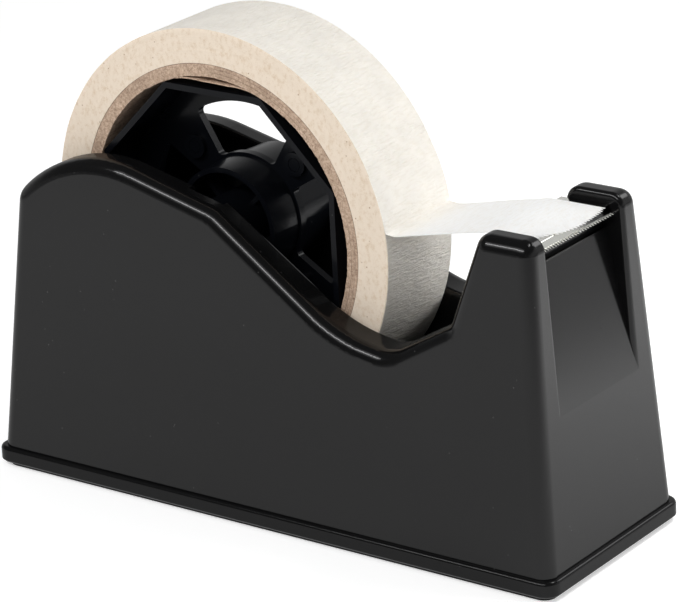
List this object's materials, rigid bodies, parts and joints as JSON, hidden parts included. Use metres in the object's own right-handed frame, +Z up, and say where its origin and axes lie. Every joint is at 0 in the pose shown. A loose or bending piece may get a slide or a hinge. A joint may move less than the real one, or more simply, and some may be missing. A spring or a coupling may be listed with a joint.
{
  "type": "tape dispenser",
  "caption": "Weighted desktop dispenser for a roll of wide tape: wavy-topped housing, reel on an open-seated axle, and a serrated cutter between posts.",
  "frame": {"origin": "centre of the base's underside, on the desk", "axes": "+X towards the cutter, +Y towards the side away from a viewer who has the cutter on their right, +Z up"},
  "size_m": [0.1686, 0.0582, 0.1199],
  "materials": {
    "black_gloss": "polished moulding",
    "black_base": "satin moulding",
    "black_reel": "satin moulding",
    "black_holder": "matte moulding",
    "mat": "matte",
    "ballast": "rough casting",
    "screw_steel": "zinc plated",
    "blade_steel": "bright",
    "core_board": "speckled board",
    "tape_side": "layered tape edge",
    "tape_face": "creped paper"
  },
  "bodies": {
    "dispenser": {"housing_shell": "black_gloss", "base_plate": "black_base", "non_slip_mat": "mat", "base_screws": "screw_steel", "cutter_ballast": "ballast", "well_ballast": "ballast", "blade_holder": "black_holder", "serrated_blade": "blade_steel", "blade_screws": "screw_steel"},
    "spindle": {"reel_axle": "black_reel", "tape_lead": "tape_face"},
    "reel": {"reel_near_half": "black_reel", "reel_far_half": "black_reel", "cardboard_core": "core_board", "tape_winding": "tape_side"}
  },
  "joints": [
    {"name": "reel_lift", "type": "slide", "parent": "dispenser", "child": "spindle", "axis": [0, 0, 1], "range_m": [0, 0.09]},
    {"name": "reel_spin", "type": "hinge", "parent": "spindle", "child": "reel", "pos_m": [-0.0189, 0, 0.07], "axis": [0, 1, 0], "continuous": true}
  ]
}
